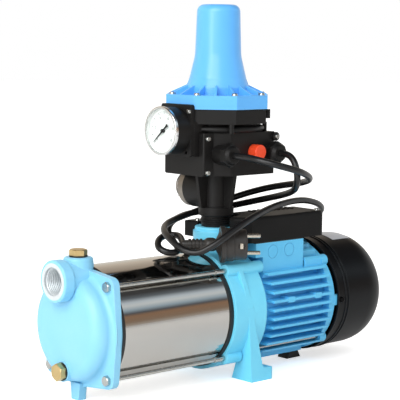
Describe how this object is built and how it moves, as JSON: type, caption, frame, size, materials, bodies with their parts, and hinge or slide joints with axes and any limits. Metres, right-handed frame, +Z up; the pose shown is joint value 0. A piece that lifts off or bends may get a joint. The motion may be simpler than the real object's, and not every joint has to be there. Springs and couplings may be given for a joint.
{
  "type": "booster pump",
  "caption": "Horizontal multistage water pump with a stainless barrel, finned motor and a pressure controller with gauge on its discharge",
  "frame": {"origin": "middle of the two foot bolts, on the floor that the feet stand on", "axes": "+X from the suction end along the shaft to the fan end, +Y to the controller's side port, +Z up"},
  "size_m": [0.454, 0.1906, 0.42],
  "materials": {
    "blue_paint": "satin paint on cast iron",
    "blue_aluminium": "satin paint on cast aluminium",
    "blue_plastic": "satin moulded",
    "stainless": "polished",
    "zinc_steel": "zinc plated",
    "black_steel": "black oxide",
    "brass": "machined",
    "black_rubber": "matte",
    "black_plastic": "fine grain",
    "red_plastic": "satin",
    "chrome_trim": "polished",
    "dial_white": "matte",
    "clear_lens": "clear",
    "machined_steel": "turned",
    "copper_winding": "lacquered",
    "stage_plastic": "moulded",
    "board_green": "satin"
  },
  "bodies": {
    "pump": {"pump_head": "blue_paint", "filler_plug": "brass", "drain_plug": "brass", "plug_seals": "black_rubber", "head_gasket": "black_rubber", "barrel_sleeve": "stainless", "adapter_gasket": "black_rubber", "tie_bolts": "zinc_steel", "adapter_casting": "blue_paint", "diffuser_1": "stage_plastic", "diffuser_2": "stage_plastic", "diffuser_3": "stage_plastic", "diffuser_4": "stage_plastic", "seal_seat": "machined_steel", "shaft_bearings": "machined_steel", "stator_core": "machined_steel", "stator_windings": "copper_winding", "motor_frame": "blue_aluminium", "end_shield": "blue_aluminium", "frame_bolts": "zinc_steel", "fan_cover": "black_plastic", "fan_cover_screws": "black_steel", "rear_foot": "black_rubber", "terminal_gasket": "black_rubber", "terminal_cover": "black_plastic", "terminal_screws": "zinc_steel", "terminal_gland": "black_plastic", "capacitor": "black_plastic", "terminal_block": "black_plastic", "controller_body": "black_plastic", "spring_housing": "blue_plastic", "housing_screws": "zinc_steel", "diaphragm": "black_rubber", "pressure_spring": "machined_steel", "outlet_insert": "chrome_trim", "switch_cover": "black_plastic", "cover_screws": "zinc_steel", "circuit_board": "board_green", "gauge_case": "black_plastic", "gauge_bezel": "chrome_trim", "gauge_dial": "dial_white", "gauge_lens": "clear_lens", "cable_glands": "black_plastic", "motor_lead": "black_rubber", "mains_lead": "black_rubber", "mains_plug": "black_rubber", "plug_pins": "chrome_trim"},
    "rotor": {"shaft": "machined_steel", "seal_rotor": "black_rubber", "rotor_core": "machined_steel", "cooling_fan": "black_plastic", "impeller_1": "stage_plastic", "impeller_2": "stage_plastic", "impeller_3": "stage_plastic", "impeller_4": "stage_plastic"},
    "button": {"reset_button": "red_plastic"},
    "pointer": {"gauge_pointer": "black_plastic"},
    "valve": {"flow_valve": "black_plastic"},
    "plate": {"spring_plate": "machined_steel"}
  },
  "joints": [
    {"name": "rotor_spin", "type": "hinge", "parent": "pump", "child": "rotor", "pos_m": [0, 0, 0.078], "axis": [1, 0, 0], "continuous": true},
    {"name": "button_press", "type": "slide", "parent": "pump", "child": "button", "axis": [0, 1, 0], "range_m": [0, 0.003], "stiffness_N_per_m": 300},
    {"name": "pointer_swing", "type": "hinge", "parent": "pump", "child": "pointer", "pos_m": [-0.1013, 0, 0.281], "axis": [1, 0, 0], "range_deg": [0, 270], "stiffness_Nm_per_rad": 0.0004},
    {"name": "valve_lift", "type": "slide", "parent": "pump", "child": "valve", "axis": [0, 0, 1], "range_m": [0, 0.01]},
    {"name": "plate_rise", "type": "slide", "parent": "pump", "child": "plate", "axis": [0, 0, 1], "range_m": [0, 0.003], "stiffness_N_per_m": 5000, "springref_m": -0.002, "deforming": ["pressure_spring"]}
  ]
}
